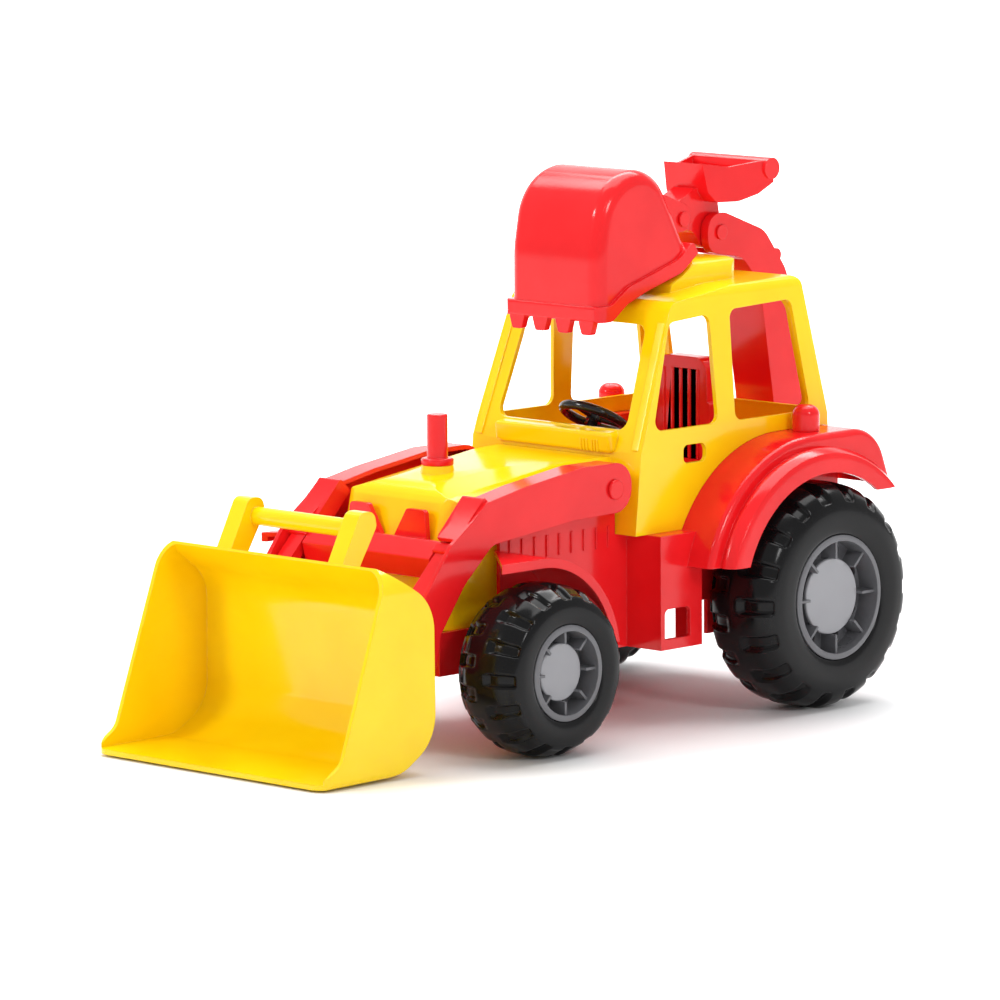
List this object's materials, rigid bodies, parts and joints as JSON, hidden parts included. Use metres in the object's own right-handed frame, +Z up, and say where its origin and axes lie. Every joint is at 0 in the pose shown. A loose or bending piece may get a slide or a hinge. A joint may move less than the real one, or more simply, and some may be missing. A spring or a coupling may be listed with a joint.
{
  "type": "toy backhoe loader",
  "caption": "Toy backhoe loader tractor with an open cab, a hinged front loader bucket, ribbed wheels and a jointed rear digging arm folded over the roof.",
  "frame": {"origin": "on the ground, midway along the length and on the toy's centre plane", "axes": "+Z up, -Y is the way it drives, +X is the driver's left, +Y runs along the length"},
  "size_m": [0.208, 0.434, 0.2814],
  "materials": {
    "red_plastic": "glossy moulded",
    "yellow_plastic": "glossy moulded",
    "tyre_black": "semi-gloss moulded",
    "hub_grey": "satin moulded",
    "cap_grey": "satin moulded",
    "black_plastic": "glossy moulded",
    "steel": "bright drawn"
  },
  "bodies": {
    "tractor": {"chassis": "red_plastic", "body_shell": "yellow_plastic", "exhaust_pipe": "red_plastic", "driver_seat": "red_plastic", "rear_lamp_left": "red_plastic", "rear_lamp_right": "red_plastic", "digger_bracket": "red_plastic", "bracket_screws": "steel", "loader_arm_pins": "red_plastic", "boom_pin": "red_plastic"},
    "steering": {"steering_wheel": "black_plastic"},
    "front_wheels": {"front_axle": "steel", "front_tyre_left": "tyre_black", "front_tyre_right": "tyre_black", "front_hub_left": "hub_grey", "front_hub_right": "hub_grey", "front_hub_cap_left": "cap_grey", "front_hub_cap_right": "cap_grey"},
    "rear_wheels": {"rear_axle": "steel", "rear_tyre_left": "tyre_black", "rear_tyre_right": "tyre_black", "rear_hub_left": "hub_grey", "rear_hub_right": "hub_grey", "rear_hub_cap_left": "cap_grey", "rear_hub_cap_right": "cap_grey"},
    "loader": {"loader_frame": "red_plastic", "loader_bucket_pins": "red_plastic"},
    "loader_scoop": {"loader_bucket": "yellow_plastic"},
    "boom": {"digger_boom": "red_plastic", "elbow_pin": "red_plastic"},
    "stick": {"digger_stick": "red_plastic", "digging_bucket_pin": "red_plastic"},
    "digging_scoop": {"digging_bucket": "red_plastic"}
  },
  "joints": [
    {"name": "front_axle_spin", "type": "hinge", "parent": "tractor", "child": "front_wheels", "pos_m": [0, -0.066, 0.0437], "axis": [1, 0, 0], "continuous": true},
    {"name": "rear_axle_spin", "type": "hinge", "parent": "tractor", "child": "rear_wheels", "pos_m": [0, 0.137, 0.059], "axis": [1, 0, 0], "continuous": true},
    {"name": "steering_spin", "type": "hinge", "parent": "tractor", "child": "steering", "pos_m": [0, 0.062, 0.151], "axis": [0, 0.4848, 0.8746], "continuous": true},
    {"name": "loader_lift", "type": "hinge", "parent": "tractor", "child": "loader", "pos_m": [0, 0.013, 0.124], "axis": [-1, 0, 0], "range_deg": [0, 50]},
    {"name": "loader_bucket_tilt", "type": "hinge", "parent": "loader", "child": "loader_scoop", "pos_m": [0, -0.126, 0.052], "axis": [1, 0, 0], "range_deg": [-8, 45]},
    {"name": "boom_swing_back", "type": "hinge", "parent": "tractor", "child": "boom", "pos_m": [0, 0.199, 0.112], "axis": [-1, 0, 0], "range_deg": [0, 95]},
    {"name": "stick_fold", "type": "hinge", "parent": "boom", "child": "stick", "pos_m": [0, 0.1445, 0.2423], "axis": [-1, 0, 0], "range_deg": [0, 35]},
    {"name": "digging_bucket_curl", "type": "hinge", "parent": "stick", "child": "digging_scoop", "pos_m": [0, 0.117, 0.251], "axis": [-1, 0, 0], "range_deg": [0, 60]}
  ]
}
